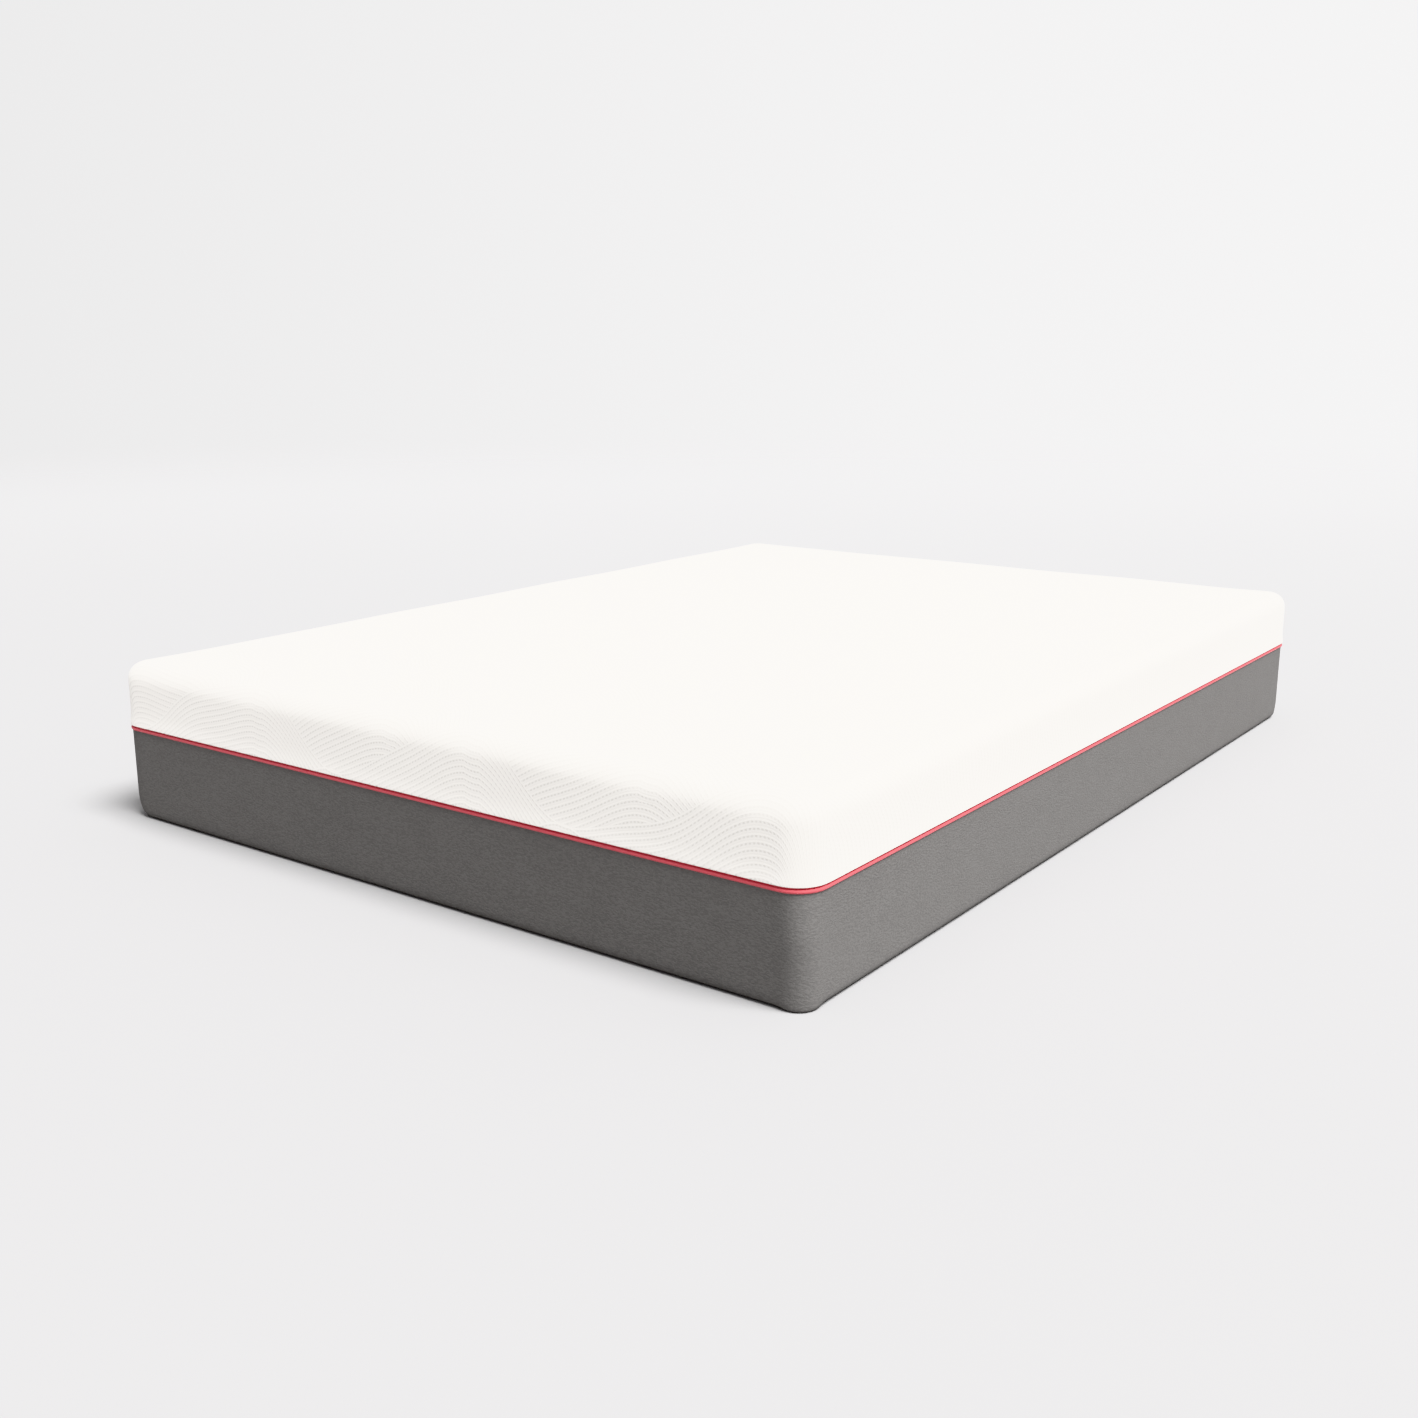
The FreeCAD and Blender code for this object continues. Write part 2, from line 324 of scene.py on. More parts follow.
def woven(name, colour, pitch, depth, roughness, spread=0.16, sheen=0.15):
    made = Finish(name, colour, roughness, sheen_weight=sheen, sheen_roughness=0.4)
    u, v = made.fabric()
    weave = plain_weave(u, v, pitch)
    patch = made.noise(made.place(), 0.12 / pitch, 2.0, 0.6)
    # The low threads of the weave are painted darker: painted shade between the threads, with patch
    # tone that differs at random.
    made.tint(weave * 0.6 + patch * 0.4, shade(colour, 1.0 - spread), shade(colour, 1.0 + spread))
    made.set("Roughness", roughness - 0.06 + patch * 0.12)
    made.relief(weave * depth + patch * depth)
    return made


def liner_knit():
    cream = (0.80, 0.785, 0.75)
    made = Finish("liner_white", cream, 0.9, sheen_weight=0.1, sheen_roughness=0.5)
    place = made.place()
    x, y, z = made.parts_of(place)
    rib = ((x + y) * (tau / 0.0026)).sine() * 0.5 + 0.5
    row = ((x - y) * (tau / 0.0066) + z * (tau / 0.0022)).sine() * 0.5 + 0.5
    ladder = made.noise(place, 7.0, 3.0)
    tight = rib * 0.6 + row * 0.4
    # The furrows of the rib and rows are painted darker: painted shade in the knit, with ladder
    # tone that differs at random.
    made.tint(tight * 0.6 + ladder * 0.4, shade(cream, 0.84), shade(cream, 1.06))
    made.set("Roughness", 0.86 + ladder * 0.1)
    made.relief(tight * 0.00022 + ladder * 0.0012)
    return made


def open_foam(name, colour, scale):
    made = Finish(name, colour, 0.95)
    place = made.place()
    cells = made.cells(place, scale)
    pores = made.cells(place, scale * 0.37)
    cloud = made.noise(place, 12.0, 3.0)
    hole = pores.between(0.30, 0.12)
    # The pores and the hollows between cells are painted darker: painted shade in the foam's holes,
    # with cloud tone that differs at random.
    made.tint(cells * 0.5 + cloud * 0.3 + hole * 0.4, shade(colour, 1.08), shade(colour, 0.72))
    made.set("Roughness", 0.9 + hole * 0.08)
    made.relief(cells * -0.0004 + hole * -0.0006)
    return made


def grip_cloth():
    charcoal = (0.060, 0.060, 0.062)
    made = Finish("base_fabric", charcoal, 0.85, sheen_weight=0.1, sheen_roughness=0.5)
    place = made.place()
    x, y = made.parts_of(place)[:2]
    weave = plain_weave(x, y, 0.0016)
    patch = made.noise(place, 30.0, 3.0)
    # The low threads of the weave are painted darker: painted shade between the threads, with patch
    # tone that differs at random.
    made.tint(weave * 0.5 + patch * 0.5, shade(charcoal, 0.7), shade(charcoal, 1.4))
    made.set("Roughness", 0.8 + patch * 0.12)
    made.relief(weave * 0.00014 + patch * 0.0004)
    return made


def grip_rubber():
    black = (0.035, 0.035, 0.036)
    made = Finish("grip_rubber", black, 0.55)
    bloom = made.noise(made.place(), 60.0, 3.0)
    made.tint(bloom, shade(black, 0.8), shade(black, 1.5))
    made.set("Roughness", 0.45 + bloom * 0.25)
    made.relief(bloom * 0.00015)
    return made


def twisted_cotton():
    cotton = (0.74, 0.71, 0.65)
    made = Finish("piping_core", cotton, 0.92)
    x, y, z = made.parts_of(made.place())
    twist = ((x + y + z * 2.0) * (tau / 0.003)).sine() * 0.5 + 0.5
    fluff = made.noise(made.place(), 700.0, 2.0)
    # The grooves of the twist are painted darker: painted shade between the plies, with fluff tone
    # that differs at random.
    made.tint(twist * 0.7 + fluff * 0.3, shade(cotton, 0.72), cotton)
    made.set("Roughness", 0.86 + fluff * 0.1)
    made.relief(twist * 0.0003 + fluff * 0.0001)
    return made


def worn_metal():
    steel = (0.56, 0.56, 0.575)
    made = Finish("slider_metal", steel, 0.34, metallic=1.0)
    place = made.place()
    wear = made.noise(place, 240.0, 4.0, 0.6)
    grain = made.noise(place, 1500.0, 1.0)
    made.tint(wear.between(0.35, 0.7), shade(steel, 0.78), shade(steel, 1.15))
    made.set("Roughness", 0.26 + wear * 0.22)
    made.relief(wear * 0.00003 + grain * 0.00001)
    return made


def coil_nylon():
    red = (0.50, 0.045, 0.062)
    made = Finish("zip_coil_red", red, 0.38)
    place = made.place()
    drawn = made.noise(place, 900.0, 2.0)
    made.tint(drawn, shade(red, 0.8), shade(red, 1.2))
    made.set("Roughness", 0.3 + drawn * 0.16)
    made.relief(drawn * 0.00004)
    return made


def piping_cloth():
    red = (0.54, 0.096, 0.116)
    made = Finish("piping_red", red, 0.78, sheen_weight=0.2, sheen_roughness=0.4,
                  specular_ior_level=0.3)
    u, v = made.fabric()
    bias = plain_weave(u + v, u - v, 0.0011)
    pucker = made.noise(made.place(), 110.0, 3.0)
    # The low threads of the bias weave are painted darker: painted shade between the threads, with
    # pucker tone that differs at random.
    made.tint(bias * 0.6 + pucker * 0.4, shade(red, 0.84), shade(red, 1.12))
    made.set("Roughness", 0.66 + pucker * 0.12)
    made.relief(bias * 0.00008 + pucker * 0.0004)
    return made


def blank_satin(low, high):
    """Ribbed satin with a pressed rim, a fold line and a row of stitches along its sewn top."""
    white = (0.82, 0.82, 0.80)
    made = Finish("label_white", white, 0.5, sheen_weight=0.1)
    u, v = made.fabric()
    rib = plain_weave(u, v, 0.0007)
    to_rim = (u - low.x).least(high.x - u).least(v - low.z).least(high.z - v)
    rim = to_rim.between(0.0030, 0.0020)
    row = (v - (high.z - 0.0052)).size().between(0.0006, 0.0003)
    stitch = row * ((u / 0.0032).part() - 0.5).size().between(0.36, 0.30)
    fold = (v - (high.z - 0.0085)).size().between(0.0008, 0.0)
    cloud = made.noise(made.place(), 60.0, 3.0)
    # The fold line is painted darker: painted shade in its crease.
    made.tint(rib * 0.14 + rim * 0.3 + stitch * 0.8 + fold * 0.25 + cloud * 0.1,
              white, shade(white, 0.72))
    made.set("Roughness", 0.42 + rim * 0.2 + cloud * 0.1)
    made.relief(rib * 0.00003 + rim * 0.0002 + stitch * 0.0004 - fold * 0.0003 + cloud * 0.0003)
    return made


# ---------------------------------------------------------------- mesh helpers

def verts_in(geometry):
    return [item for item in geometry if isinstance(item, bmesh.types.BMVert)]


class Section:
    """A cross-section drawn through the middle of the +X side, then swept round the mattress."""

    def __init__(self, inset, height):
        self.bm = bmesh.new()
        self.tip = self.bm.verts.new((HALF_WIDTH - inset, 0.0, height))

    def line(self, inset, height, steps=1):
        start = self.tip.co.copy()
        end = Vector((HALF_WIDTH - inset, 0.0, height))
        for step in range(steps):
            made = bmesh.ops.extrude_vert_indiv(self.bm, verts=[self.tip])
            self.tip = made["verts"][0]
            self.tip.co = start.lerp(end, (step + 1) / steps)
        return self

    def arc(self, inset, height, angle, steps):
        """Turns about a point. A positive angle goes from the top of the turn outwards and down."""
        made = bmesh.ops.spin(self.bm, geom=[self.tip], cent=(HALF_WIDTH - inset, 0.0, height),
                              axis=(0, 1, 0), angle=radians(angle), steps=steps)
        self.tip = verts_in(made["geom_last"])[0]
        return self

    def sweep(self, corner=CORNER, rows=1, columns=1, turn=CORNER_STEPS):
        return sweep(self.bm, corner, rows, columns, turn)


def sweep(bm, corner, rows, columns, turn):
    """Sweeps what is in bm along half the +X side, round the corner and along half the +Y side."""
    run, reach = HALF_LENGTH - corner, HALF_WIDTH - corner
    front = bm.verts[:] + bm.edges[:]
    whole = dict(cent=(reach, run, 0.0), axis=(0, 0, 1))
    front = bmesh.ops.spin(bm, geom=front, **whole, dvec=(0, run / rows, 0), angle=0.0,
                           steps=rows)["geom_last"]
    front = bmesh.ops.spin(bm, geom=front, **whole, angle=pi / 2, steps=turn)["geom_last"]
    bmesh.ops.spin(bm, geom=front, **whole, dvec=(-reach / columns, 0, 0), angle=0.0, steps=columns)
    return bm


def mirrored(bm):
    """Mirrors a quarter to the whole, closes its joins and turns its faces outwards."""
    for axis in "XY":
        bmesh.ops.mirror(bm, geom=bm.verts[:] + bm.edges[:] + bm.faces[:], axis=axis,
                         merge_dist=1e-5)
    bmesh.ops.remove_doubles(bm, verts=bm.verts[:], dist=1e-5)
    bmesh.ops.recalc_face_normals(bm, faces=bm.faces[:])
    return bm


def join(bm, other):
    """Adds another mesh to bm, and gives the edges it brought."""
    held = bpy.data.meshes.new("held")
    other.to_mesh(held)
    other.free()
    before = set(bm.edges)
    bm.from_mesh(held)
    bpy.data.meshes.remove(held)
    return [edge for edge in bm.edges if edge not in before]


def panel(bm, height, corner=CORNER, rows=HALF_ROWS, columns=HALF_COLUMNS):
    """A flat quarter panel as far as the corner's centre."""
    reach, run = HALF_WIDTH - corner, HALF_LENGTH - corner
    place = Matrix.Translation((reach / 2, run / 2, height)) @ Matrix.Diagonal((reach, run, 1, 1))
    bmesh.ops.create_grid(bm, x_segments=columns, y_segments=rows, size=0.5, matrix=place)
    return bm


def held_in(value, limit):
    return max(-limit, min(limit, value))


def off_corner(x, y, corner=CORNER):
    """The nearest point of the rectangle through the corners' centres, and the way out from it."""
    near = Vector((held_in(x, HALF_WIDTH - corner), held_in(y, HALF_LENGTH - corner)))
    return near, Vector((x, y)) - near


def lay_flat(bm, corner=CORNER):
    """Fabric layout of a band: u runs round the mattress, and v up it."""
    layer = bm.loops.layers.uv.new("Fabric")
    reach, run = HALF_WIDTH - corner, HALF_LENGTH - corner
    for face in bm.faces:
        middle = face.calc_center_median()
        for loop in face.loops:
            x, y, z = loop.vert.co
            near, out = off_corner(x, abs(y), corner)
            back = out.y < 1e-6 and x < 0.0 and near.x <= -reach + 1e-6
            angle = pi if back else max(0.0, atan2(out.y, out.x))
            along = corner * angle + (near.y if angle < pi / 2 - 1e-6 else run + reach - near.x)
            along += run - near.y if back else 0.0
            side = y if middle.x > 0 and not out.y else middle.y
            loop[layer].uv = (copysign(along, side), z + out.length)
    return bm


def piece(name, bm, finish, body, slot, *nodes):
    mesh = bpy.data.meshes.new(name)
    bm.to_mesh(mesh)
    bm.free()
    mesh.shade_smooth()
    mesh.materials.append(finish.material)
    made = bpy.data.objects.new(name, mesh)
    bpy.context.scene.collection.objects.link(made)
    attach(made, body)
    if nodes:
        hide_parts(*nodes)
    return made


def smoothed(made, levels=1):
    rounding = made.modifiers.new("smoothing", "SUBSURF")
    rounding.levels = rounding.render_levels = levels
    return made


def thickened(made, thickness, offset=-1.0):
    wall = made.modifiers.new("thickness", "SOLIDIFY")
    wall.thickness = thickness
    wall.offset = offset
    wall.use_even_offset = True
    return made


def softened(made, width, segments=2, angle=50.0):
    edge = made.modifiers.new("soft_edge", "BEVEL")
    edge.width = width
    edge.segments = segments
    edge.limit_method = "ANGLE"
    edge.angle_limit = radians(angle)
    return made


# ---------------------------------------------------------------- top cover

def unfold_cover(bm):
    """Fabric layout of the top cover: the top panel laid flat, its sides folded out from it."""
    layer = bm.loops.layers.uv.new("Fabric")
    flat = CORNER - TOP_EDGE
    for face in bm.faces:
        for loop in face.loops:
            x, y, z = loop.vert.co
            near, out = off_corner(x, y)
            spread = out.length
            fall = TOP - z
            if spread > flat:
                turned = min(pi / 2, atan2(spread - flat, max(1e-9, TOP_EDGE - fall)))
                spread = flat + TOP_EDGE * turned + max(0.0, fall - TOP_EDGE)
            loop[layer].uv = near + out.normalized() * spread if out.length > 1e-9 else near
    return bm


def swell(made):
    """Blows the cover out a little from its hem, as foam fills it. No point moves past the cap."""
    start = [vert.co.copy() for vert in made.data.vertices]
    hem = made.vertex_groups.new(name="hem")
    hem.add([i for i, co in enumerate(start) if co.z < COVER_HEM + 0.004], 1.0, "REPLACE")
    cloth = made.modifiers.new("cloth", "CLOTH")
    cloth.settings.vertex_group_mass = "hem"
    cloth.settings.quality = 5
    cloth.settings.mass = 0.4
    cloth.settings.tension_stiffness = 40.0
    cloth.settings.compression_stiffness = 40.0
    cloth.settings.shear_stiffness = 15.0
    cloth.settings.bending_stiffness = 2.0
    cloth.settings.use_pressure = True
    cloth.settings.uniform_pressure_force = PRESSURE
    cloth.settings.effector_weights.gravity = 0.0
    cloth.point_cache.frame_end = CLOTH_FRAMES
    for step in range(1, CLOTH_FRAMES + 1):
        bpy.context.scene.frame_set(step)
    blown = made.evaluated_get(bpy.context.evaluated_depsgraph_get())
    moved = [vert.co.copy() for vert in blown.data.vertices]
    made.modifiers.clear()
    bpy.context.scene.frame_set(1)
    for vert, before, after in zip(made.data.vertices, start, moved):
        step = after - before
        # The cap comes in gradually, so that a fully swollen panel keeps its hollows and rises.
        vert.co = before + step * (SWELL_CAP / (SWELL_CAP + step.length))


def ease(bm, amount, size, above):
    """Uneven filling: a gentle rise and fall of the surface along its own normals."""
    bm.normal_update()
    for vert in bm.verts:
        fade = min(1.0, max(0.0, (vert.co.z - above) / 0.03))
        vert.co += vert.normal * amount * fade * noise.noise(vert.co / size)


def make_top_cover(finish):
    outline = Section(CORNER, TOP).line(TOP_EDGE, TOP).arc(TOP_EDGE, TOP - TOP_EDGE, 90, 6)
    outline.line(0.0, COVER_HEM + 0.004, 6).line(0.0, COVER_HEM)
    bm = outline.sweep(rows=HALF_ROWS, columns=HALF_COLUMNS)
    panel(bm, TOP)
    mirrored(bm)
    unfold_cover(bm)
    ease(bm, 0.0012, 0.23, COVER_HEM)
    made = piece("top_cover_knit", bm, finish, "top_cover", "knit_white", "top_cover")
    swell(made)
    thickened(smoothed(made), COVER_WALL)
    softened(made, 0.0013)


# ---------------------------------------------------------------- zip and piping

def head_side(x, y):
    """1 along the straight of the head side, where the slider runs, and 0 elsewhere."""
    straight = min(1.0, max(0.0, (HALF_WIDTH - 0.03 - abs(x)) / 0.05))
    rise = straight * straight * (3 - 2 * straight)
    return rise if y > HALF_LENGTH - 0.1 else 0.0


def bring_out(bm, amount_at):
    """Moves points out towards the slot, except along the head side."""
    for vert in bm.verts:
        out = off_corner(vert.co.x, vert.co.y)[1]
        step = out.normalized() * amount_at(vert.co.z, CORNER - out.length)
        vert.co += (step * (1.0 - head_side(vert.co.x, vert.co.y))).to_3d()


def follow(value, stops):
    """Straight runs between (place, value) stops."""
    for (start, low), (end, high) in zip(stops, stops[1:]):
        if value <= end:
            break
    share = max(0.0, min(1.0, (value - start) / (end - start)))
    return low + (high - low) * share


def upper_bow(height, inset):
    return inset - follow(height - ZIP_LINE, ((0.0001, 0.0022), (0.0013, 0.0035), (0.0047, 0.0040),
                                              (0.0112, 0.0033), (0.0230, 0.0033)))


def lower_bow(height, inset):
    return inset - follow(ZIP_LINE - height, ((0.0001, 0.0021), (0.0006, 0.0040), (0.0012, 0.0056),
                                              (0.0021, 0.0068), (0.0047, 0.0082), (0.0112, 0.0055),
                                              (0.0230, 0.0055)))


def zip_tape(side):
    """One zip tape, from its toothed edge to its seam. side is 1 for upper and -1 for lower."""
    edge, sewn = (0.00012, 0.0033) if side > 0 else (0.00012, 0.0055)
    level = [ZIP_LINE + side * distance for distance in (edge, 0.0025, 0.0047, 0.0112, 0.0230)]
    tape = Section(TAPE_INSET, level[0]).line(TAPE_INSET, level[1], 5).line(TAPE_INSET, level[2], 4)
    tape.line(sewn, level[3], 4).line(sewn, level[4], 3)
    return mirrored(tape.sweep(rows=80, columns=60, turn=8))


def repeated(bm, geometry, count, step=(0, 0, 0), angle=0.0):
    """Repeats a shape count times along a step or round the corner, and gives the last one."""
    centre = (HALF_WIDTH - CORNER, HALF_LENGTH - CORNER, 0.0)
    return bmesh.ops.spin(bm, geom=geometry, cent=centre, axis=(0, 0, 1), dvec=step, angle=angle,
                          steps=count, use_duplicate=True)["geom_last"]


def zip_teeth(side):
    """The coil of one half of the zip, as slanted loops across its line."""
    bm = bmesh.new()
    inset = TAPE_INSET + 0.0011
    middle = ZIP_LINE + side * 0.00125
    start = COIL_PITCH * (0.5 if side > 0 else 1.0)
    lean = Matrix.Rotation(0.18 * side, 4, "X")
    place = Matrix.Translation((HALF_WIDTH - inset, start, middle)) @ lean
    bmesh.ops.create_cone(bm, cap_ends=True, segments=6, radius1=COIL_WIRE, radius2=COIL_WIRE,
                          depth=0.0021, matrix=place)
    front = bm.verts[:] + bm.edges[:] + bm.faces[:]
    count = int((HALF_LENGTH - CORNER - start) / COIL_PITCH)
    front = repeated(bm, front, count, step=(0, COIL_PITCH, 0))
    front = repeated(bm, front, round((CORNER - inset) * pi / 2 / COIL_PITCH), angle=pi / 2)
    repeated(bm, front, int((HALF_WIDTH - CORNER) / COIL_PITCH), step=(-COIL_PITCH, 0, 0))
    for axis in "XY":
        bmesh.ops.mirror(bm, geom=bm.verts[:] + bm.edges[:] + bm.faces[:], axis=axis,
                         merge_dist=0.0)
    bmesh.ops.recalc_face_normals(bm, faces=bm.faces[:])
    bring_out(bm, lambda height, inset: COIL_OUT)
    return bm


def make_zip(tape_finish, coil_finish):
    for side, half, body, bow in ((1, "upper", "top_cover", upper_bow),
                                  (-1, "lower", "lower_cover", lower_bow)):
        bm = zip_tape(side)
        bring_out(bm, bow)
        lay_flat(bm)
        made = piece(f"zip_tape_{half}", bm, tape_finish, body, "zip_tape_red", f"{half}_zip_tape")
        thickened(made, TAPE_WALL, 0.0)
        piece(f"zip_teeth_{half}", zip_teeth(side), coil_finish, body, "zip_coil_red",
              f"{half}_zip_coil")


def make_piping(finish):
    """The roll of bias cloth, and its two edges sewn down together behind the border."""
    height = PIPING_TOP - ROLL
    flange = Section(FLANGE_OUTER, height).line(FLANGE_OUTER, FLANGE_FOOT, 4)
    flange.line(FLANGE_INNER, FLANGE_FOOT).line(FLANGE_INNER, height, 4)
    flange.bm.verts.ensure_lookup_table()
    flange.bm.edges.new((flange.bm.verts[0], flange.tip))
    bm = mirrored(flange.sweep(rows=80, columns=60, turn=8))
    centre = Matrix.Translation((HALF_WIDTH - ROLL_INSET, 0, height))
    roll = bmesh.new()
    bmesh.ops.create_circle(roll, segments=14, radius=ROLL,
                            matrix=centre @ Matrix.Rotation(pi / 2, 4, "X"))
    mirrored(sweep(roll, CORNER, 150, 110, 8))
    for vert in roll.verts:
        near, out = off_corner(vert.co.x, vert.co.y)
        spine = (near + out.normalized() * (CORNER - ROLL_INSET)).to_3d()
        spine.z = height
        spoke = vert.co - spine
        vert.co = spine + spoke * (1.0 + 0.035 * noise.noise(vert.co * 55.0))
    join(bm, roll)
    lay_flat(bm)
    piece("piping_roll", bm, finish, "lower_cover", "piping_red", "piping_cover")


# ---------------------------------------------------------------- lower cover

def bottom_round(radius, height):
    """How far in the cover has turned at a height above the floor."""
    if height >= radius:
        return 0.0
    return radius - max(0.0, radius ** 2 - (radius - height) ** 2) ** 0.5


def round_feet(bm, floor, edge):
    """Rounds the four bottom corners more than the straight bottom edges, whose radius is edge."""
    for vert in bm.verts:
        out = off_corner(vert.co.x, vert.co.y)[1]
        if out.length > 0.002:
            facing = out.normalized()
            share = abs(2 * facing.x * facing.y) ** 0.7
            full = facing.x > 0 > facing.y
            radius = edge + ((FULL_CORNER if full else BOTTOM_CORNER) - BOTTOM_EDGE) * share
            height = max(0.0, vert.co.z - floor)
            pull = bottom_round(max(0.0, radius), height) - bottom_round(edge, height)
            vert.co -= (facing * min(pull, out.length * 0.9)).to_3d()


def make_border(finish):
    side = Section(OVERHANG, BORDER_TOP).line(OVERHANG, BORDER_TOP - 0.0015)
    side.line(OVERHANG, BOTTOM_EDGE, 9).arc(OVERHANG + BOTTOM_EDGE, BOTTOM_EDGE, 90, 4)
    bm = mirrored(side.sweep(rows=HALF_ROWS, columns=HALF_COLUMNS))
    lip = [edge for edge in bm.edges if edge.is_boundary and edge.verts[0].co.z < 0.001]
    window = Section(OVERHANG + UNDERSIDE_HEM, 0.0)
    rim = join(bm, mirrored(window.sweep(UNDERSIDE_CORNER, HALF_ROWS, HALF_COLUMNS)))
    bmesh.ops.bridge_loops(bm, edges=lip + rim)
    bmesh.ops.recalc_face_normals(bm, faces=bm.faces[:])
    lay_flat(bm)
    for vert in bm.verts:
        out = off_corner(vert.co.x, vert.co.y)[1]
        fade = min(1.0, max(0.0, (BORDER_TOP - vert.co.z) / 0.04)) * min(1.0, vert.co.z / 0.02)
        ripple = 0.0007 * noise.noise(Vector((vert.co.x * 9, vert.co.y * 9, vert.co.z * 5)))
        vert.co += (out.normalized() * ripple * fade).to_3d()
        if out.x > 0 > out.y:
            facing = out.normalized()
            share = abs(2 * facing.x * facing.y)
            below = min(1.0, max(0.0, (BORDER_TOP - vert.co.z) / 0.06))
            fuller = CORNER_BULGE * share * below
            vert.co += (facing * min(fuller, out.length)).to_3d()
    round_feet(bm, 0.0, BOTTOM_EDGE)
    made = piece("side_border_cloth", bm, finish, "lower_cover", "border_grey", "side_border")
    thickened(smoothed(made), BORDER_WALL)


def make_underside(cloth, rubber, tape):
    inset = HALF_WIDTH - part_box("base_panel")[1].x
    level = UNDERSIDE_LEVEL
    bm = Section(UNDERSIDE_CORNER, level).line(inset, level).sweep(UNDERSIDE_CORNER, 1, 1, 8)
    panel(bm, level, UNDERSIDE_CORNER, 1, 1)
    mirrored(bm)
    bmesh.ops.recalc_face_normals(bm, faces=bm.faces[:])
    if sum(face.normal.z for face in bm.faces) > 0:
        bmesh.ops.reverse_faces(bm, faces=bm.faces[:])
    made = piece("base_panel_cloth", bm, cloth, "lower_cover", "base_fabric", "base_panel")
    thickened(made, PANEL_WALL)
    bm = bmesh.new()
    columns, rows = 48, 68
    first = Vector((-columns * DOT_PITCH / 2, -rows * DOT_PITCH / 2, UNDERSIDE_LEVEL / 2))
    bmesh.ops.create_cone(bm, cap_ends=True, segments=8, radius1=0.0022, radius2=0.0036,
                          depth=UNDERSIDE_LEVEL, matrix=Matrix.Translation(first))
    repeated(bm, bm.verts[:] + bm.edges[:] + bm.faces[:], columns, step=(DOT_PITCH, 0, 0))
    repeated(bm, bm.verts[:] + bm.edges[:] + bm.faces[:], rows, step=(0, DOT_PITCH, 0))
    piece("base_grip_dots", bm, rubber, "lower_cover", "base_fabric")
    low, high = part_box("base_seam_tape")
    outer, level = HALF_WIDTH - high.x, (low.z + high.z) / 2
    strip = Section(outer, level).line(outer + SEAM_TAPE_WIDTH, level, 6)
    bm = mirrored(strip.sweep(UNDERSIDE_CORNER, 80, 60, 8))
    lay_flat(bm, UNDERSIDE_CORNER)
    seam = piece("base_seam_binding", bm, tape, "lower_cover", "seam_tape", "base_seam_tape")
    thickened(seam, high.z - low.z, 0.0)


def make_label():
    low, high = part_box("care_label")
    bm = bmesh.new()
    size = high - low
    place = Matrix.Translation((low + high) / 2) @ Matrix.Rotation(pi / 2, 4, "X")
    place = place @ Matrix.Diagonal((size.x, size.z, 1, 1))
    bmesh.ops.create_grid(bm, x_segments=10, y_segments=14, size=0.5, matrix=place)
    layer = bm.loops.layers.uv.new("Fabric")
    for face in bm.faces:
        for loop in face.loops:
            loop[layer].uv = (loop.vert.co.x, loop.vert.co.z)
    bmesh.ops.recalc_face_normals(bm, faces=bm.faces[:])
    if sum(face.normal.y for face in bm.faces) < 0:
        bmesh.ops.reverse_faces(bm, faces=bm.faces[:])
    for vert in bm.verts:
        hang = (high.z - vert.co.z) / size.z
        vert.co.y += 0.0022 * hang ** 2 + 0.0006 * hang * sin(vert.co.x * 90)
    made = piece("care_label_satin", bm, blank_satin(low, high), "lower_cover", "label_white",
                 "care_label")
    thickened(made, LABEL_WALL, 0.0)


# ---------------------------------------------------------------- core

def make_liner(finish):
    low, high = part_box("inner_liner")
    inset = HALF_WIDTH - high.x
    top_round = TOP_EDGE - inset
    skin = Section(CORNER, high.z).line(inset + top_round, high.z)
    skin.arc(inset + top_round, high.z - top_round, 90, 6).line(inset, low.z + LINER_FOOT, 8)
    skin.arc(inset + LINER_FOOT, low.z + LINER_FOOT, 90, 3).line(CORNER, low.z)
    bm = skin.sweep(rows=24, columns=18, turn=6)
    panel(bm, high.z, rows=24, columns=18)
    panel(bm, low.z, rows=24, columns=18)
    mirrored(bm)
    ease(bm, 0.0004, 0.12, 0.02)
    round_feet(bm, low.z, LINER_FOOT)
    made = piece("liner_sock", bm, finish, "core", "liner_white", "inner_liner")
    thickened(smoothed(made), LINER_WALL)


def make_foam(name, node, finish, slot):
    bm = bmesh.new()
    bm.from_mesh(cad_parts[node].data)
    bmesh.ops.remove_doubles(bm, verts=bm.verts[:], dist=1e-6)
    bmesh.ops.dissolve_limit(bm, angle_limit=radians(1.0), verts=bm.verts[:], edges=bm.edges[:])
    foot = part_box("support_foam_base")[0].z
    round_feet(bm, foot, FOAM_FOOT)
    for vert in bm.verts:
        out = off_corner(vert.co.x, vert.co.y)[1]
        if out.length > 0.002:
            # The foam stands a little clear of the liner, and more so at its feet.
            slack = FOAM_SLACK + FOAM_FOOT_SLACK * max(0.0, 1.0 - (vert.co.z - foot) / 0.010)
            vert.co -= (out.normalized() * slack).to_3d()
    made = softened(piece(name, bm, finish, "core", slot, node), FOAM_EDGE)


# ---------------------------------------------------------------- build

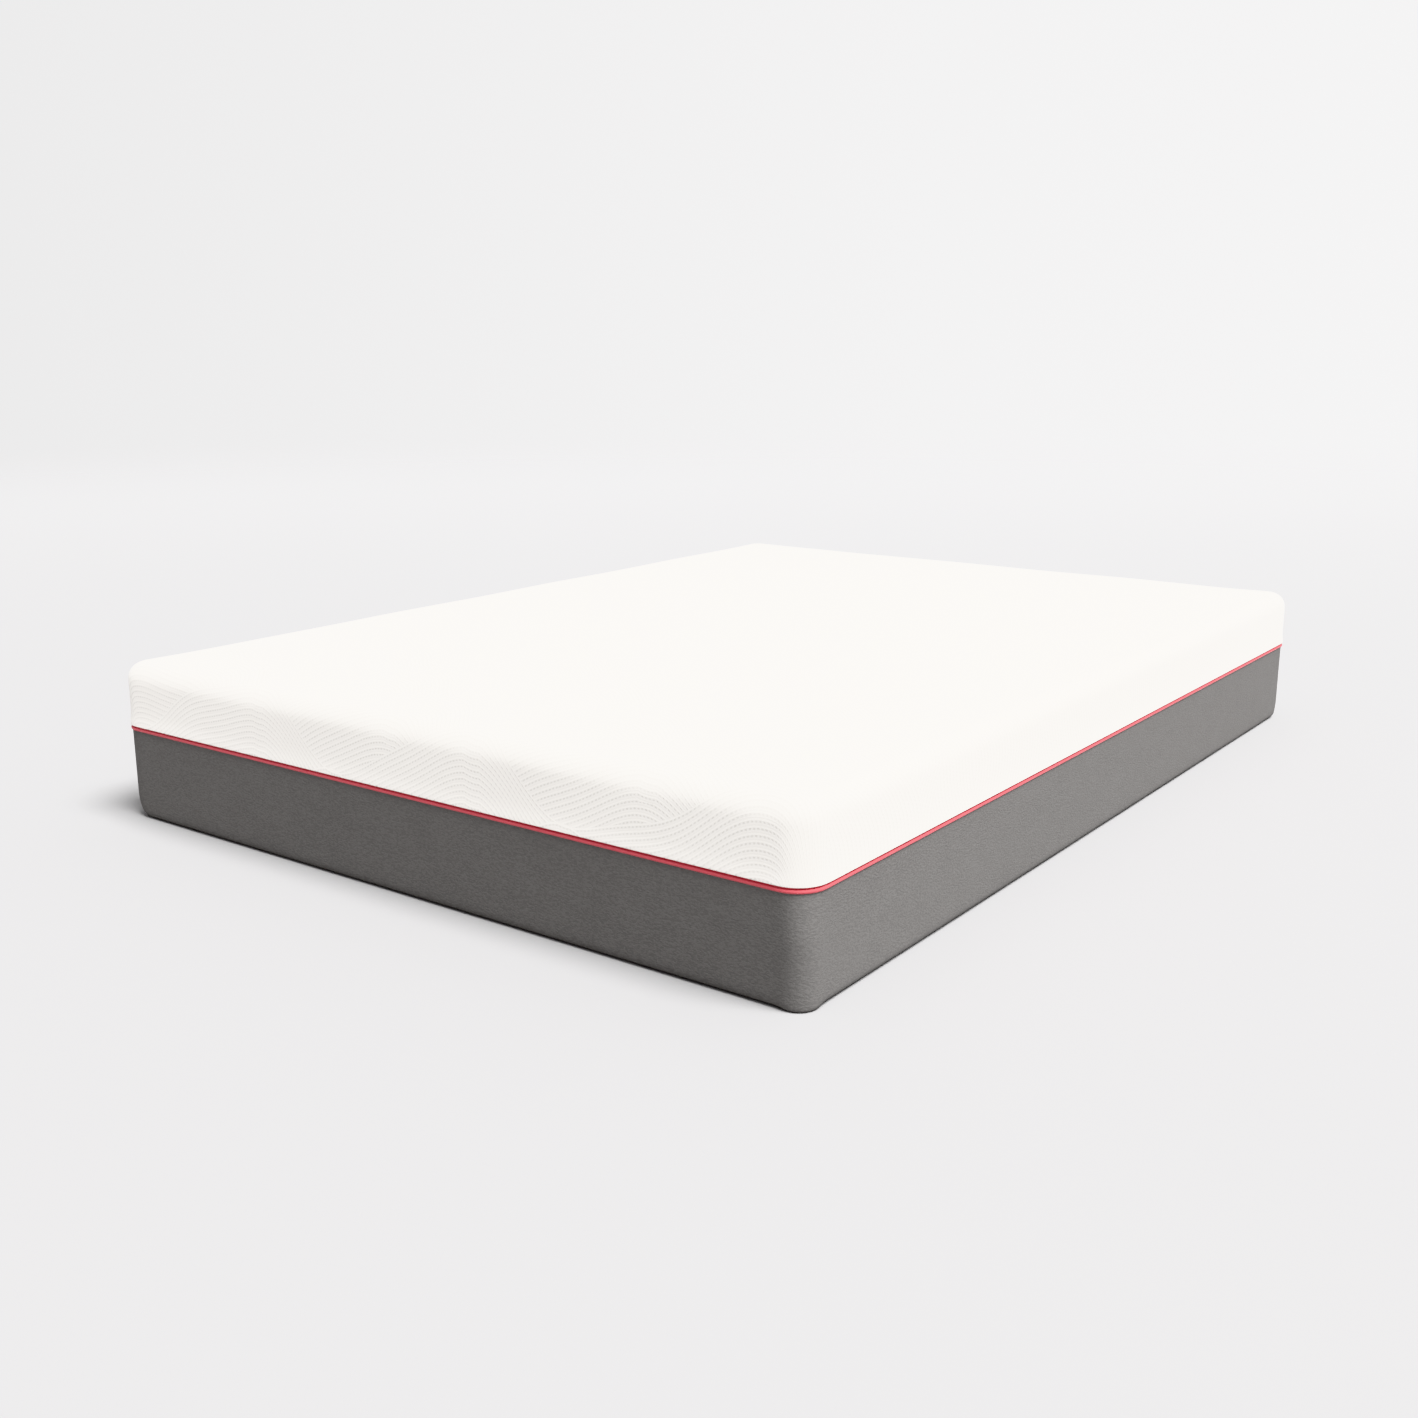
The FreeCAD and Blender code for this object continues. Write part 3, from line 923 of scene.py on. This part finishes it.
knit = white_knit()
make_top_cover(knit)
tape_red = woven("zip_tape_red", (0.48, 0.056, 0.070), 0.0009, 0.00006, 0.84)
coil_red = coil_nylon()
make_zip(tape_red, coil_red)
make_piping(piping_cloth())
make_border(grey_cloth())
make_underside(grip_cloth(), grip_rubber(),
               woven("seam_tape", (0.10, 0.10, 0.10), 0.0012, 0.0001, 0.85))
make_label()
make_liner(liner_knit())
for foam, node, colour, cells in (
        ("memory_foam", "memory_foam_layer", (0.78, 0.74, 0.60), 900.0),
        ("transition_foam", "transition_foam_layer", (0.50, 0.60, 0.68), 620.0),
        ("support_foam", "support_foam_base", (0.66, 0.66, 0.64), 480.0)):
    make_foam(f"{foam}_pad", node, open_foam(foam, colour, cells), foam)

metal = worn_metal()
for node in ("zip_slider_body", "zip_slider_bridge", "zip_pull_tab"):
    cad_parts[node].data.materials.clear()
    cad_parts[node].data.materials.append(metal.material)
for node, finish in (("zip_end_stops", coil_red), ("piping_cord", twisted_cotton())):
    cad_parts[node].data.materials.clear()
    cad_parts[node].data.materials.append(finish.material)


# ---------------------------------------------------------------- studio

def make_floor():
    pale = (0.292, 0.289, 0.291)
    finish = Finish("studio_floor", pale, 0.9)
    x, y = finish.parts_of(finish.place())[:2]
    away = (x * x + y * y) ** 0.5
    finish.set("Alpha", away.between(FLOOR_EDGE, FLOOR_EDGE * 0.45))
    lit_side = (x * 0.804 + y * 0.594).between(-6.0, 6.0)
    far_side = (y * 0.804 - x * 0.594).between(0.5, 6.0)
    # The floor is painted lighter towards the key light's side and towards the far side: painted
    # light on the floor.
    finish.tint(lit_side * 0.35 + far_side * 0.5, shade(pale, 0.96), shade(pale, 1.2))
    bm = bmesh.new()
    bmesh.ops.create_circle(bm, cap_ends=True, segments=96, radius=FLOOR_EDGE,
                            matrix=Matrix.Translation((0, 0, -0.0003)))
    mesh = bpy.data.meshes.new("studio_floor")
    bm.to_mesh(mesh)
    bm.free()
    mesh.materials.append(finish.material)
    floor = bpy.data.objects.new("studio_floor", mesh)
    bpy.context.scene.collection.objects.link(floor)


def make_key(towards, spread, strength):
    data = bpy.data.lights.new("key", "SUN")
    data.angle = spread
    data.energy = strength
    lamp = bpy.data.objects.new("key", data)
    lamp.rotation_euler = Vector(towards).to_track_quat("Z", "Y").to_euler()
    bpy.context.scene.collection.objects.link(lamp)


def make_world():
    """A plain pale backdrop, a little brighter on the key light's side."""
    world = bpy.data.worlds.new("studio")
    world.use_nodes = True
    nodes, links = world.node_tree.nodes, world.node_tree.links
    place = nodes.new("ShaderNodeTexCoord")
    across = nodes.new("ShaderNodeVectorMath")
    across.operation = "DOT_PRODUCT"
    across.inputs[1].default_value = (0.804, 0.5945, 0.0)
    level = nodes.new("ShaderNodeMapRange")
    for socket, value in zip(level.inputs[1:], (-1.0, 1.0, BACKDROP_LEFT, BACKDROP_RIGHT)):
        socket.default_value = value
    links.new(place.outputs["Generated"], across.inputs[0])
    links.new(across.outputs["Value"], level.inputs[0])
    links.new(level.outputs[0], nodes["Background"].inputs["Strength"])
    nodes["Background"].inputs["Color"].default_value = (1.0, 0.995, 0.997, 1.0)
    bpy.context.scene.world = world


def make_camera():
    pitch, yaw, roll = 0.24077, 0.6367, -0.00257
    data = bpy.data.cameras.new("camera")
    data.lens = 38.95
    data.sensor_width = 36.0
    camera = bpy.data.objects.new("camera", data)
    camera.matrix_world = (Matrix.Translation((1.62413, -2.39637, 0.80786))
                           @ Matrix.Rotation(yaw, 4, "Z") @ Matrix.Rotation(pi / 2 - pitch, 4, "X")
                           @ Matrix.Rotation(roll, 4, "Z"))
    bpy.context.scene.collection.objects.link(camera)
    bpy.context.scene.camera = camera


make_camera()
make_floor()
make_key((0.45, -0.03, 0.893), 0.55, 7.6)
make_world()
bpy.context.scene.view_settings.view_transform = "Khronos PBR Neutral"
bpy.context.scene.view_settings.look = "None"
